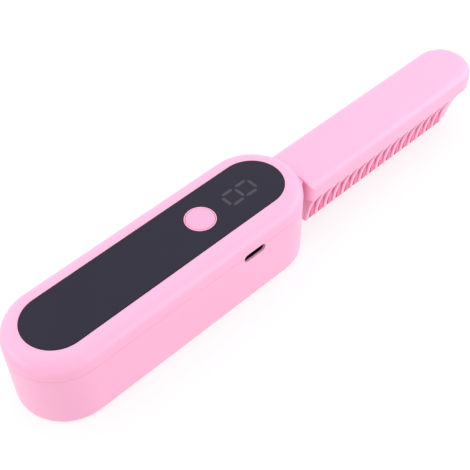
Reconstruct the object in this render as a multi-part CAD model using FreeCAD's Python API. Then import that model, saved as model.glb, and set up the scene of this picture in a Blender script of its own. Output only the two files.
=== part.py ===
import FreeCAD, Part
import math
import os

from FreeCAD import Vector

# Folding cordless heated comb, in millimetres.
# +X runs from the handle to the comb's tip, -Y is the charging port's side, +Z is up.
# The origin is under the middle of the opened comb, on the surface that the handle lies on.

# Driving dimensions: handle
HANDLE_LENGTH = 117.5
HANDLE_WIDTH = 35.4
HANDLE_HEIGHT = 30.45
DRAFT = 0.7
TOP_ROUND = 5.2
BOTTOM_ROUND = 2.1
SEAM_Z = 23.0
SEAM_GROOVE = 0.1
WALL = 2.0
FLOOR = 1.8

# Driving dimensions: comb head
COMB_REACH = 95.0
COMB_WIDTH = 21.9
COMB_TOP_Z = 24.5
COMB_SEAM_Z = 16.75
COMB_ROUND = 4.6
COMB_WALL = 1.6
ROOT_GAP = 0.35
ROOT_ROUND = 2.8
ROOT_EDGE = 0.6
FIN_COUNT = 17
FIN_PITCH = 4.645
FIN_THICKNESS = 1.8
FIN_OFFSET = 2.3
FIN_TOP_Z = 15.95
FIN_WAIST_Z = 11.8
FIN_WAIST_HALF = 9.1
FIN_TIP_Z = 2.1
FIN_TIP_HALF = 7.0
FIN_CORNER = 0.9
FIN_EDGE = 0.5
FIN_SHOULDER = 2.5
WEB_INSET = 0.8
WEB_FOOT = 2.5
WEB_REACH = 7.0
HOT_TOOTH_THICK = 1.7
HOT_TOOTH_HALF = 7.3
HOT_TIP_HALF = 6.85
HOT_TIP_RISE = 0.1
HOT_TAPER_Z = 7.0
HOT_CORNER = 0.9

# Driving dimensions: hinge
HINGE_INSET = 7.85
HINGE_Z = 10.0
PIN_R = 2.0
PIN_PLAY = 0.05
ARM_HALF = 7.4
KNUCKLE_R = 6.0
NECK_R = 4.0
NECK_DROP = 0.3
ARM_FIT = 0.1
BRACKET_STEEL = 1.5
BRACKET_INNER = 7.9
SWEEP_R = 9.2

# Driving dimensions: control panel, button and digit
PANEL_LENGTH = 104.9
PANEL_WIDTH = 22.5
PANEL_THICK = 1.3
PANEL_PROUD = 0.15
PANEL_FIT = 0.1
BUTTON_FROM_CENTRE = 18.0
BUTTON_R = 4.9
BUTTON_HOLE_R = 5.05
COLLAR_R = 5.4
COLLAR_PROUD = 0.05
BUTTON_PROUD = 0.5
BUTTON_TRAVEL = 0.5
DIGIT_FROM_CENTRE = 35.5
DIGIT_Y = -0.25
DIGIT_HALF_TALL = 5.9
DIGIT_HALF_WIDE = 2.87
STROKE = 1.2
STROKE_GAP = 1.2

# Driving dimensions: charging port, a standard USB-C receptacle
PORT_FROM_CENTRE = 25.6
PORT_Z = 21.82
PORT_SLOT_LONG = 9.6
PORT_SLOT_HIGH = 3.3
SHELL_LONG = 8.94
SHELL_HIGH = 3.16
SHELL_DEEP = 8.6
SHELL_SET_BACK = 0.9
SHELL_STEEL = 0.3
TONGUE_WIDE = 6.6
TONGUE_THICK = 0.7

# Driving dimensions: pieces inside the handle
BOARD_THICK = 1.0
BOARD_HALF = 11.0
BOARD_POST_R = 2.0
DISPLAY_HALF = 4.0
SWITCH_HALF = 3.0
PLUNGER_R = 1.5
STEM_R = 1.8
CHIP_SIDE = 5.0
CHIP_THICK = 1.0
CELL_LENGTH = 50.0
CELL_HALF = 13.5
CELL_ROUND = 1.4
TAPE_HALF = 11.5
TAPE_THICK = 0.5
LEAD_R = 0.6
LEAD_HOLE_R = 1.5

# Driving dimensions: pieces inside the comb head
CONTACT_GAP = 0.05
FLANGE_THICK = 0.6
HEATER_HALF = 4.0
HEATER_THICK = 1.2
INSULATION_HALF = 4.4
INSULATION_THICK = 0.8
CLAMP_HALF = 3.0
CLAMP_REACH = 20.0
CLAMP_STEEL = 0.5
SENSOR_R = 0.8
SENSOR_LONG = 4.0
SENSOR_Y = 5.6
FUSE_R = 1.5
FUSE_LONG = 10.0
FUSE_Y = -6.2
COMB_BOSS_R = 2.2

# Places worked out from the driving dimensions
TOTAL_LENGTH = HANDLE_LENGTH + COMB_REACH
HANDLE_LEFT = -TOTAL_LENGTH / 2
HANDLE_RIGHT = HANDLE_LEFT + HANDLE_LENGTH
HANDLE_MID = HANDLE_LEFT + HANDLE_LENGTH / 2
HANDLE_HALF = HANDLE_WIDTH / 2
END_LEFT = HANDLE_LEFT + HANDLE_HALF
END_RIGHT = HANDLE_RIGHT - HANDLE_HALF
FLARE = DRAFT * TOP_ROUND / (HANDLE_HEIGHT - TOP_ROUND)
COMB_TIP = TOTAL_LENGTH / 2
COMB_HALF = COMB_WIDTH / 2
COMB_ROOT = HANDLE_RIGHT + ROOT_GAP
TIP_CENTRE = COMB_TIP - COMB_HALF
HINGE_X = HANDLE_RIGHT - HINGE_INSET
PANEL_TOP = HANDLE_HEIGHT + PANEL_PROUD
PANEL_FLOOR = PANEL_TOP - PANEL_THICK
BUTTON_X = HANDLE_MID + BUTTON_FROM_CENTRE
DIGIT_X = HANDLE_MID + DIGIT_FROM_CENTRE
PORT_X = HANDLE_MID + PORT_FROM_CENTRE

# The bay under the handle that takes the folded comb
BAY_CLEARANCE = 0.6
BAY_HALF = COMB_HALF + BAY_CLEARANCE
BAY_WALL = 1.2
FOLDED_FIN_Z = 2 * HINGE_Z - FIN_TIP_Z
BAY_ROOF = FOLDED_FIN_Z + 0.9
ROOF_TOP = BAY_ROOF + BAY_WALL
SLOT_HALF = BRACKET_INNER + BRACKET_STEEL + 0.2
SLOT_LEFT = HINGE_X - 7.6
SLOT_TOP = COMB_TOP_Z + 0.5
BULKHEAD_LEFT = SLOT_LEFT - 1.4

# The electronics space above the bay
CAVITY_HALF = HANDLE_HALF - WALL
COVER_CAVITY_HALF = CAVITY_HALF - 0.2
CEILING_Z = PANEL_FLOOR - 1.4
CHANNEL_RIGHT = BULKHEAD_LEFT - 2.4
BOARD_LOW = PORT_Z + SHELL_HIGH / 2
BOARD_TOP = BOARD_LOW + BOARD_THICK
SHELL_FRONT = -HANDLE_HALF + SHELL_SET_BACK
SHELL_BACK_WALL = SHELL_FRONT + SHELL_DEEP - 1.0
CELL_LEFT = END_LEFT - 3.4
CELL_RIGHT = CELL_LEFT + CELL_LENGTH

# Screws
SCREW_R = 0.85
SCREW_HEAD_R = 1.5
SCREW_HEAD = 0.9
SCREW_POINT = 0.3
HEAD_ROUND = 0.35
CROSS_REACH = 1.1
CROSS_HALF = 0.2
CROSS_DEEP = 0.5
SCREW_PLAY = 0.05
HEAD_PLAY = 0.15
BOSS_R = 2.4
END_SCREW_R = BAY_HALF + 0.7 + SCREW_HEAD_R + HEAD_PLAY
COVER_SCREW_SPOTS = [
    (END_LEFT - END_SCREW_R * math.sqrt(0.5), END_SCREW_R * math.sqrt(0.5)),
    (END_LEFT - END_SCREW_R * math.sqrt(0.5), -END_SCREW_R * math.sqrt(0.5)),
    (END_RIGHT - 4.65, END_SCREW_R),
    (END_RIGHT - 4.65, -END_SCREW_R),
]
COVER_SCREW_SEAT = 8.0
BRACKET_SCREW_SPOTS = [(HINGE_X - 2.4, 3.6), (HINGE_X - 2.4, -3.6)]
BOARD_SCREW_SPOTS = [(BUTTON_X - 7.0, 9.0), (BUTTON_X - 7.0, -9.0)]
BOARD_REST_SPOTS = [(DIGIT_X + 2.5, 9.5), (DIGIT_X + 2.5, -9.5)]
ARM_SCREW_SPOTS = [(COMB_ROOT + 6.5, 4.0), (COMB_ROOT + 6.5, -4.0)]
COMB_SCREW_SPOTS = [(TIP_CENTRE + 4.5, 4.0), (TIP_CENTRE + 4.5, -4.0)]

# Layers inside the comb head, from the fins upwards
TEETH_LIP_Z = COMB_SEAM_Z + 0.8
PLATE_LOW = FIN_TOP_Z - 0.4
PLATE_HALF = 7.45
PLATE_FIT = 0.15
PLATE_LEFT = HANDLE_RIGHT + 5.0
PLATE_RIGHT = TIP_CENTRE - 3.7
FLANGE_LOW = TEETH_LIP_Z + CONTACT_GAP
FLANGE_TOP = FLANGE_LOW + FLANGE_THICK
HEATER_LOW = FLANGE_TOP + CONTACT_GAP
HEATER_TOP = HEATER_LOW + HEATER_THICK
HEATER_LEFT = PLATE_LEFT + 13.8
HEATER_RIGHT = PLATE_RIGHT - 1.8
PAD_LOW = HEATER_TOP + CONTACT_GAP
PAD_TOP = PAD_LOW + INSULATION_THICK
TONGUE_LOW = FLANGE_TOP + 0.15
TONGUE_TOP = TONGUE_LOW + 2.8
TONGUE_RIGHT = COMB_ROOT + 15.5
NECK_X = HANDLE_RIGHT - 1.65
NECK_TOP = COMB_TOP_Z - NECK_DROP
NECK_Z = NECK_TOP - NECK_R
COVER_INNER_TOP = COMB_TOP_Z - COMB_WALL

# Every cutter runs a little past the faces that it opens.

def box(x_low, x_high, y_low, y_high, z_low, z_high):
    """Straight block between two corners."""
    size = (x_high - x_low, y_high - y_low, z_high - z_low)
    return Part.makeBox(*size, Vector(x_low, y_low, z_low))


def upright(x, y, radius, z_low, z_high):
    """Round post along Z."""
    return Part.makeCylinder(radius, z_high - z_low, Vector(x, y, z_low))


def crosswise(x, z, radius, y_low, y_high):
    """Round bar along Y."""
    return Part.makeCylinder(radius, y_high - y_low, Vector(x, y_low, z), Vector(0, 1, 0))


def lengthwise(y, z, radius, x_low, x_high):
    """Round bar along X."""
    return Part.makeCylinder(radius, x_high - x_low, Vector(x_low, y, z), Vector(1, 0, 0))


def joined(solids):
    """One solid from touching or overlapping ones, with merged faces."""
    return solids[0].fuse(solids[1:]).removeSplitter()


def stadium(x_left, x_right, half_width, z_low, z_high):
    """Upright prism with round ends and straight sides, between its end points along X."""
    left = x_left + half_width
    right = x_right - half_width
    edges = [
        Part.makeLine(Vector(left, -half_width, z_low), Vector(right, -half_width, z_low)),
        Part.Arc(
            Vector(right, -half_width, z_low), Vector(x_right, 0, z_low), Vector(right, half_width, z_low)
        ).toShape(),
        Part.makeLine(Vector(right, half_width, z_low), Vector(left, half_width, z_low)),
        Part.Arc(
            Vector(left, half_width, z_low), Vector(x_left, 0, z_low), Vector(left, -half_width, z_low)
        ).toShape(),
    ]
    return Part.Face(Part.Wire(edges)).extrude(Vector(0, 0, z_high - z_low))


def prism_along_x(points, x_low, x_high):
    """Block along X with a straight-sided outline of (y, z) points."""
    corners = [Vector(x_low, y, z) for y, z in points]
    wire = Part.makePolygon(corners + corners[:1])
    return Part.Face(wire).extrude(Vector(x_high - x_low, 0, 0))


def prism_along_y(points, y_low, y_high):
    """Block along Y with a straight-sided outline of (x, z) points."""
    corners = [Vector(x, y_low, z) for x, z in points]
    wire = Part.makePolygon(corners + corners[:1])
    return Part.Face(wire).extrude(Vector(0, y_high - y_low, 0))


def edges_at_height(shape, z):
    """The edges that lie wholly at one height."""
    found = []
    for edge in shape.Edges:
        bounds = edge.BoundBox
        if abs(bounds.ZMin - z) < 1e-4 and abs(bounds.ZMax - z) < 1e-4:
            found.append(edge)
    return found


def ridges_at_height(shape, z):
    """The edges at one height that run along X."""
    return [edge for edge in edges_at_height(shape, z) if edge.BoundBox.YLength < 1e-4]


def edges_in_plane_x(shape, x):
    """The edges that lie wholly at one place along X."""
    found = []
    for edge in shape.Edges:
        bounds = edge.BoundBox
        if abs(bounds.XMin - x) < 1e-4 and abs(bounds.XMax - x) < 1e-4:
            found.append(edge)
    return found


def screw(x, y, seat_z, tip_z):
    """Pan-head screw that points up from its seat, with a cross slot in the head."""
    head_low = seat_z - SCREW_HEAD
    head = upright(x, y, SCREW_HEAD_R, head_low, seat_z)
    head = head.makeFillet(HEAD_ROUND, edges_at_height(head, head_low))
    shank = upright(x, y, SCREW_R, seat_z, tip_z)
    shank = shank.makeChamfer(SCREW_POINT, edges_at_height(shank, tip_z))
    slot_top = head_low + CROSS_DEEP
    slots = []
    for reach_x, reach_y in ((CROSS_REACH, CROSS_HALF), (CROSS_HALF, CROSS_REACH)):
        slots.append(box(x - reach_x, x + reach_x, y - reach_y, y + reach_y, head_low - 0.1, slot_top))
    return head.fuse(shank).cut(slots).removeSplitter()


def screws_up(spots, seat_z, tip_z):
    """Group of like screws as separate solids."""
    return Part.makeCompound([screw(x, y, seat_z, tip_z) for x, y in spots])


def screw_holes(spots, seat_z, low_z, tip_z):
    """Cutters for the heads below a seat and the shanks above it."""
    cutters = []
    for x, y in spots:
        cutters.append(upright(x, y, SCREW_HEAD_R + HEAD_PLAY, low_z, seat_z))
        cutters.append(upright(x, y, SCREW_R + SCREW_PLAY, seat_z - 0.1, tip_z))
    return cutters


def handle_form():
    """Outer form of the whole handle: a drafted stadium with rounded edges."""
    low_half = HANDLE_HALF - DRAFT
    high_half = HANDLE_HALF + FLARE
    outline = [(-low_half, 0), (low_half, 0), (high_half, HANDLE_HEIGHT), (-high_half, HANDLE_HEIGHT)]
    solids = [prism_along_x(outline, END_LEFT, END_RIGHT)]
    for x in (END_LEFT, END_RIGHT):
        solids.append(Part.makeCone(low_half, high_half, HANDLE_HEIGHT, Vector(x, 0, 0)))
    form = joined(solids)
    form = form.makeFillet(TOP_ROUND, edges_at_height(form, HANDLE_HEIGHT))
    return form.makeFillet(BOTTOM_ROUND, edges_at_height(form, 0))


def seam_groove():
    """Fine groove around the handle where its two casings meet."""
    half = HANDLE_HALF - DRAFT + (DRAFT + FLARE) * SEAM_Z / HANDLE_HEIGHT
    inset = HANDLE_HALF - half + SEAM_GROOVE
    low = SEAM_Z - SEAM_GROOVE / 2
    high = SEAM_Z + SEAM_GROOVE / 2
    outside = stadium(HANDLE_LEFT - 1, HANDLE_RIGHT + 1, HANDLE_HALF + 1, low, high)
    inside = stadium(HANDLE_LEFT + inset, HANDLE_RIGHT - inset, HANDLE_HALF - inset, low, high)
    return outside.cut(inside)


def port_sleeve(long_side, high_side, y_low, y_high):
    """Round-ended bar of the port's section."""
    half = high_side / 2
    reach = long_side / 2 - half
    solids = [box(PORT_X - reach, PORT_X + reach, y_low, y_high, PORT_Z - half, PORT_Z + half)]
    for x in (PORT_X - reach, PORT_X + reach):
        solids.append(crosswise(x, PORT_Z, half, y_low, y_high))
    return joined(solids)


def port_slot():
    """Round-ended slot through the near wall for the charging plug."""
    return port_sleeve(PORT_SLOT_LONG, PORT_SLOT_HIGH, -HANDLE_HALF - 1, -CAVITY_HALF + 0.4)


def hinge_cheeks():
    """Solid beside the hinge slot, inside the path of the swinging comb."""
    cheeks = []
    for low, high in ((-BAY_HALF - 0.1, -SLOT_HALF), (SLOT_HALF, BAY_HALF + 0.1)):
        nose = crosswise(HINGE_X, HINGE_Z, SWEEP_R, low, high)
        above = box(HINGE_X - SWEEP_R, HANDLE_RIGHT + 5, low, high, HINGE_Z, BAY_ROOF + 1)
        cheeks.append(nose.fuse(above))
    return cheeks


def comb_bay():
    """Hollow of the bay and the hinge slot."""
    bay = stadium(END_LEFT - BAY_HALF, HANDLE_RIGHT + 40, BAY_HALF, -1, BAY_ROOF)
    bay = bay.cut(hinge_cheeks())
    slot = box(SLOT_LEFT, HANDLE_RIGHT + 5, -SLOT_HALF, SLOT_HALF, -1, SLOT_TOP)
    return [bay, slot]


def side_channel():
    """Hollow ring between the bay's wall and the outer wall."""
    outside = stadium(
        END_LEFT - CAVITY_HALF + 0.2, HANDLE_RIGHT, CAVITY_HALF - 0.2, FLOOR, ROOF_TOP + 0.1
    )
    inner_half = BAY_HALF + BAY_WALL
    inside = stadium(END_LEFT - inner_half, HANDLE_RIGHT + 40, inner_half, 0, ROOF_TOP + 1)
    keep = box(HANDLE_LEFT, CHANNEL_RIGHT, -HANDLE_HALF, HANDLE_HALF, 0, ROOF_TOP + 1)
    return outside.cut(inside).common(keep)


def electronics_space(half_width, z_low, z_high):
    """Hollow for the battery and the board, closed off towards the hinge."""
    space = stadium(END_LEFT - half_width, HANDLE_RIGHT + 40, half_width, z_low, z_high)
    return space.common(box(HANDLE_LEFT, BULKHEAD_LEFT, -HANDLE_HALF, HANDLE_HALF, z_low, z_high))


def handle_body(form):
    """Lower casing: outer wall, comb bay, hinge cheeks, board posts and screw columns."""
    lower = form.common(box(HANDLE_LEFT - 1, HANDLE_RIGHT + 1, -HANDLE_WIDTH, HANDLE_WIDTH, -1, SEAM_Z))
    hollows = [side_channel(), electronics_space(CAVITY_HALF, ROOF_TOP, SEAM_Z + 1)]
    casing = lower.cut(hollows)
    columns = []
    for x, y in COVER_SCREW_SPOTS:
        columns.append(upright(x, y, BOSS_R + 0.4, 0, SEAM_Z).common(lower))
    for x, y in BOARD_SCREW_SPOTS + BOARD_REST_SPOTS:
        columns.append(upright(x, y, BOARD_POST_R, ROOF_TOP - 0.2, BOARD_LOW))
    casing = casing.fuse(columns)
    cutters = comb_bay() + screw_holes(COVER_SCREW_SPOTS, COVER_SCREW_SEAT, -1, SEAM_Z + 1)
    for x, y in BOARD_SCREW_SPOTS:
        cutters.append(upright(x, y, SCREW_R + SCREW_PLAY, ROOF_TOP + 0.4, BOARD_LOW + 1))
    cutters.append(lengthwise(0, ROOF_TOP + 1.9, LEAD_HOLE_R, BULKHEAD_LEFT - 1, SLOT_LEFT + 1))
    cutters.append(port_slot())
    cutters.append(seam_groove())
    return casing.cut(cutters).removeSplitter()


def top_cover(form):
    """Upper casing: rounded rim, panel recess, button collar, screw posts and the block above the hinge."""
    upper = form.common(
        box(HANDLE_LEFT - 1, HANDLE_RIGHT + 1, -HANDLE_WIDTH, HANDLE_WIDTH, SEAM_Z, HANDLE_HEIGHT + 1)
    )
    casing = upper.cut(electronics_space(COVER_CAVITY_HALF, SEAM_Z - 1, CEILING_Z))
    posts = []
    for x, y in COVER_SCREW_SPOTS:
        posts.append(upright(x, y, BOSS_R, SEAM_Z, CEILING_Z + 0.2).common(upper))
    casing = casing.fuse(posts)
    recess_left = HANDLE_MID - PANEL_LENGTH / 2 - PANEL_FIT
    recess_right = HANDLE_MID + PANEL_LENGTH / 2 + PANEL_FIT
    recess_half = PANEL_WIDTH / 2 + PANEL_FIT
    window_tall = DIGIT_HALF_TALL + 0.8
    window_half = DISPLAY_HALF + 0.2
    collar = upright(BUTTON_X, 0, COLLAR_R, CEILING_Z, PANEL_TOP + COLLAR_PROUD)
    casing = casing.cut(stadium(recess_left, recess_right, recess_half, PANEL_FLOOR, HANDLE_HEIGHT + 1))
    casing = casing.fuse(collar)
    cutters = [
        upright(BUTTON_X, 0, BUTTON_HOLE_R, CEILING_Z - 1, PANEL_TOP + 1),
        box(
            DIGIT_X - window_tall,
            DIGIT_X + window_tall,
            -window_half,
            window_half,
            CEILING_Z - 1,
            PANEL_FLOOR + 1,
        ),
        box(SLOT_LEFT, HANDLE_RIGHT + 5, -SLOT_HALF, SLOT_HALF, SEAM_Z - 1, SLOT_TOP),
        port_slot(),
        seam_groove(),
    ]
    for x, y in COVER_SCREW_SPOTS:
        cutters.append(upright(x, y, SCREW_R + SCREW_PLAY, SEAM_Z - 1, CEILING_Z - 0.3))
    for x, y in BRACKET_SCREW_SPOTS:
        cutters.append(upright(x, y, SCREW_R + SCREW_PLAY, SLOT_TOP - 1, CEILING_Z + 0.4))
    return casing.cut(cutters).removeSplitter()


def digit_bars(stroke, gap, z_low, z_high):
    """Seven pointed bars of one digit, whose height runs along the handle."""
    bars = []
    half = stroke / 2

    def bar(x, y, length, along_x):
        reach = length / 2
        outline = [(-reach, 0), (-reach + half, half), (reach - half, half)]
        outline += [(-px, -py) for px, py in outline]
        if along_x:
            corners = [Vector(x + px, y + py, z_low) for px, py in outline]
        else:
            corners = [Vector(x + py, y + px, z_low) for px, py in outline]
        face = Part.Face(Part.makePolygon(corners + corners[:1]))
        return face.extrude(Vector(0, 0, z_high - z_low))

    cross_length = 2 * DIGIT_HALF_WIDE - gap
    long_length = DIGIT_HALF_TALL - gap
    for step in (-1, 0, 1):
        bars.append(bar(DIGIT_X + step * DIGIT_HALF_TALL, DIGIT_Y, cross_length, False))
    for step in (-0.5, 0.5):
        for side in (-1, 1):
            place = (DIGIT_X + step * DIGIT_HALF_TALL, DIGIT_Y + side * DIGIT_HALF_WIDE)
            bars.append(bar(*place, long_length, True))
    return bars


def control_panel():
    """Dark stadium panel with the button's hole and the digit's seven windows."""
    left = HANDLE_MID - PANEL_LENGTH / 2
    panel = stadium(left, left + PANEL_LENGTH, PANEL_WIDTH / 2, PANEL_FLOOR, PANEL_TOP)
    panel = panel.makeFillet(0.3, edges_at_height(panel, PANEL_TOP))
    hole = upright(BUTTON_X, 0, COLLAR_R + PANEL_FIT / 2, PANEL_FLOOR - 1, PANEL_TOP + 1)
    return panel.cut([hole] + digit_bars(STROKE, STROKE_GAP, PANEL_FLOOR - 1, PANEL_TOP + 1))


def digit_segments():
    """Light guides of the digit, flush with the panel."""
    fit = 0.06
    return Part.makeCompound(digit_bars(STROKE - fit, STROKE_GAP + fit, CEILING_Z, PANEL_TOP))


def display_module():
    """Lamp housing of the digit on the board."""
    tall = DIGIT_HALF_TALL + 0.45
    return box(DIGIT_X - tall, DIGIT_X + tall, -DISPLAY_HALF, DISPLAY_HALF, BOARD_TOP, CEILING_Z)


def button_cap():
    """Round crowned cap with a flange that keeps it in and a stem for the switch."""
    top = PANEL_TOP + BUTTON_PROUD
    flange_top = CEILING_Z - 0.15
    flange_low = flange_top - 0.8
    cap = upright(BUTTON_X, 0, BUTTON_R, flange_low, top - 0.25)
    crown_rise = 0.25
    crown_r = (BUTTON_R**2 + crown_rise**2) / (2 * crown_rise)
    ball = Part.makeSphere(crown_r, Vector(BUTTON_X, 0, top - crown_r))
    tall = upright(BUTTON_X, 0, BUTTON_R, flange_low, top)
    cap = tall.common(ball.fuse(cap))
    shoulder = [edge for edge in cap.Edges if abs(edge.BoundBox.ZMin - (top - crown_rise)) < 1e-3]
    cap = cap.makeFillet(0.4, [edge for edge in shoulder if edge.BoundBox.ZLength < 1e-3])
    flange = upright(BUTTON_X, 0, BUTTON_R + 0.9, flange_low, flange_top)
    hollow = upright(BUTTON_X, 0, BUTTON_R - 1.1, flange_low - 1, top - 1.6)
    stem = upright(BUTTON_X, 0, STEM_R, stem_low(), top - 1.0)
    return cap.fuse(flange).cut(hollow).fuse(stem).removeSplitter()


def stem_low():
    """Height of the lower end of the button's stem."""
    return CEILING_Z - 0.15 - 0.8 - 0.4


def tact_switch():
    """Push switch under the button, with the well for its plunger."""
    top = stem_low() - BUTTON_TRAVEL - 0.1
    left = BUTTON_X - SWITCH_HALF
    body = box(left, left + 2 * SWITCH_HALF, -SWITCH_HALF, SWITCH_HALF, BOARD_TOP, top)
    return body.cut(upright(BUTTON_X, 0, PLUNGER_R + 0.1, BOARD_TOP + 0.3, stem_low()))


def switch_plunger():
    """Moving plunger of the switch, under the button's stem."""
    return upright(BUTTON_X, 0, PLUNGER_R, BOARD_TOP + 0.4 + BUTTON_TRAVEL, stem_low())


def main_board():
    """Circuit board with its two screw holes."""
    board = box(BUTTON_X - 10, BULKHEAD_LEFT - 0.8, -BOARD_HALF, BOARD_HALF, BOARD_LOW, BOARD_TOP)
    hole_r = SCREW_R + SCREW_PLAY
    holes = [upright(x, y, hole_r, BOARD_LOW - 1, BOARD_TOP + 1) for x, y in BOARD_SCREW_SPOTS]
    return board.cut(holes)


def board_screws():
    """Two screws that hold the board on its posts, heads up."""
    solids = []
    for x, y in BOARD_SCREW_SPOTS:
        part = screw(x, y, -BOARD_TOP, -BOARD_TOP + 4.0)
        part.rotate(Vector(x, y, 0), Vector(1, 0, 0), 180)
        solids.append(part)
    return Part.makeCompound(solids)


def control_chip():
    """Controller chip under the board."""
    left = BUTTON_X - 4.0
    near = 3.0
    return box(left, left + CHIP_SIDE, near, near + CHIP_SIDE, BOARD_LOW - CHIP_THICK, BOARD_LOW)


def usb_socket():
    """Steel shell of the charging receptacle under the board's edge."""
    shell = port_sleeve(SHELL_LONG, SHELL_HIGH, SHELL_FRONT, SHELL_FRONT + SHELL_DEEP)
    inner_long = SHELL_LONG - 2 * SHELL_STEEL
    inner_high = SHELL_HIGH - 2 * SHELL_STEEL
    inside = port_sleeve(inner_long, inner_high, SHELL_FRONT - 1, SHELL_BACK_WALL)
    return shell.cut(inside)


def usb_tongue():
    """Contact tongue inside the receptacle."""
    half_wide = TONGUE_WIDE / 2
    half_thick = TONGUE_THICK / 2
    return box(
        PORT_X - half_wide,
        PORT_X + half_wide,
        SHELL_FRONT + 0.8,
        SHELL_BACK_WALL,
        PORT_Z - half_thick,
        PORT_Z + half_thick,
    )


def battery_cell():
    """Flat lithium pouch cell above the bay."""
    cell = box(CELL_LEFT, CELL_RIGHT, -CELL_HALF, CELL_HALF, ROOF_TOP + TAPE_THICK, CEILING_Z - 0.5)
    return cell.makeFillet(CELL_ROUND, cell.Edges)


def battery_pad():
    """Foam tape that the cell sits on."""
    inset = CELL_HALF - TAPE_HALF
    return box(CELL_LEFT + inset, CELL_RIGHT - inset, -TAPE_HALF, TAPE_HALF, ROOF_TOP, ROOF_TOP + TAPE_THICK)


def bent_lead(y, x_start, z_start, x_bend, x_end, z_end):
    """Round lead along X that steps from one height to another in two even arcs."""
    bend_run = (x_end - x_bend) / 2
    half_run = bend_run / 2
    half_drop = (z_end - z_start) / 2
    radius = (half_run**2 + half_drop**2) / (2 * abs(half_drop))
    turn = math.asin(half_run / radius) / 2
    side = math.copysign(1, half_drop)
    x_last = x_bend + bend_run

    def on_arc(x, z, angle, sign):
        rise = side * radius * (1 - math.cos(angle))
        return Vector(x + sign * radius * math.sin(angle), y, z + sign * rise)

    middle = Vector(x_bend + half_run, y, z_start + half_drop)
    edges = [
        Part.makeLine(Vector(x_start, y, z_start), Vector(x_bend, y, z_start)),
        Part.Arc(Vector(x_bend, y, z_start), on_arc(x_bend, z_start, turn, 1), middle).toShape(),
        Part.Arc(middle, on_arc(x_last, z_end, turn, -1), Vector(x_last, y, z_end)).toShape(),
        Part.makeLine(Vector(x_last, y, z_end), Vector(x_end, y, z_end)),
    ]
    section = Part.Wire(Part.makeCircle(LEAD_R, Vector(x_start, y, z_start), Vector(1, 0, 0)))
    return Part.Wire(edges).makePipeShell([section], True, False)


def battery_leads():
    """Two leads from the cell to the underside of the board."""
    low = (ROOF_TOP + CEILING_Z) / 2 - 1.4
    bend = CELL_RIGHT + 1.0
    end = CELL_RIGHT + 8.0
    high = BOARD_LOW - LEAD_R
    return Part.makeCompound([bent_lead(y, CELL_RIGHT, low, bend, end, high) for y in (-2, 2)])


def hinge_bracket():
    """Bent steel bracket: two ears that hold the pin and a plate screwed under the top cover."""
    outer = BRACKET_INNER + BRACKET_STEEL
    left = HINGE_X - 5.2
    right = HINGE_X + 2.6
    plate_top = SLOT_TOP
    solids = [box(left, right, -outer, outer, plate_top - BRACKET_STEEL, plate_top)]
    for low, high in ((-outer, -BRACKET_INNER), (BRACKET_INNER, outer)):
        solids.append(box(left, right, low, high, HINGE_Z, plate_top))
        solids.append(crosswise(HINGE_X, HINGE_Z, 5.2, low, high))
    bracket = joined(solids)
    holes = [crosswise(HINGE_X, HINGE_Z, PIN_R + 0.02, -outer - 1, outer + 1)]
    for x, y in BRACKET_SCREW_SPOTS:
        holes.append(upright(x, y, SCREW_R + SCREW_PLAY, plate_top - 3, plate_top + 1))
    return bracket.cut(holes)


def hinge_pin():
    """Steel pin across the slot, trapped between the cheeks."""
    reach = SLOT_HALF - 0.1
    pin = crosswise(HINGE_X, HINGE_Z, PIN_R, -reach, reach)
    ends = [edge for edge in pin.Edges if edge.BoundBox.YLength < 1e-6]
    return pin.makeChamfer(0.25, ends)


def friction_washers():
    """Two washers between the arm and the bracket's ears that give the fold its drag."""
    solids = []
    for side in (-1, 1):
        low = side * (ARM_HALF + BRACKET_INNER) / 2 - 0.2
        ring = crosswise(HINGE_X, HINGE_Z, 4.6, low, low + 0.4)
        solids.append(ring.cut(crosswise(HINGE_X, HINGE_Z, PIN_R + 0.02, low - 1, low + 1)))
    return Part.makeCompound(solids)


def hinge_arm():
    """Arm of the comb: knuckle, slanted neck up to the comb's root, and tongue screwed into the cover."""
    root_face = COMB_ROOT - ARM_FIT
    reach_x = NECK_X - HINGE_X
    reach_z = NECK_Z - HINGE_Z
    reach = math.hypot(reach_x, reach_z)
    lean = math.atan2(reach_z, reach_x)
    spread = math.acos((KNUCKLE_R - NECK_R) / reach)
    outline = []
    for x, z, radius, turn in (
        (HINGE_X, HINGE_Z, KNUCKLE_R, lean + spread),
        (NECK_X, NECK_Z, NECK_R, lean + spread),
        (NECK_X, NECK_Z, NECK_R, lean - spread),
        (HINGE_X, HINGE_Z, KNUCKLE_R, lean - spread),
    ):
        outline.append((x + radius * math.cos(turn), z + radius * math.sin(turn)))
    link = joined(
        [
            prism_along_y(outline, -ARM_HALF, ARM_HALF),
            crosswise(HINGE_X, HINGE_Z, KNUCKLE_R, -ARM_HALF, ARM_HALF),
            crosswise(NECK_X, NECK_Z, NECK_R, -ARM_HALF, ARM_HALF),
            box(NECK_X, root_face + NECK_R, -ARM_HALF, ARM_HALF, NECK_Z, NECK_TOP),
        ]
    )
    link = link.common(box(HANDLE_LEFT, root_face, -ARM_HALF, ARM_HALF, 0, COMB_TOP_Z))
    link = link.makeChamfer(0.5, [edge for edge in link.Edges if edge.BoundBox.YLength < 1e-6])
    tongue = box(NECK_X, TONGUE_RIGHT, -ARM_HALF + 0.6, ARM_HALF - 0.6, TONGUE_LOW, TONGUE_TOP)
    arm = link.fuse(tongue)
    cutters = [crosswise(HINGE_X, HINGE_Z, PIN_R + PIN_PLAY, -ARM_HALF - 1, ARM_HALF + 1)]
    cutters += screw_holes(ARM_SCREW_SPOTS, TONGUE_LOW + 1.2, TONGUE_LOW - 1, TONGUE_TOP + 1)
    return arm.cut(cutters).removeSplitter()


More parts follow.
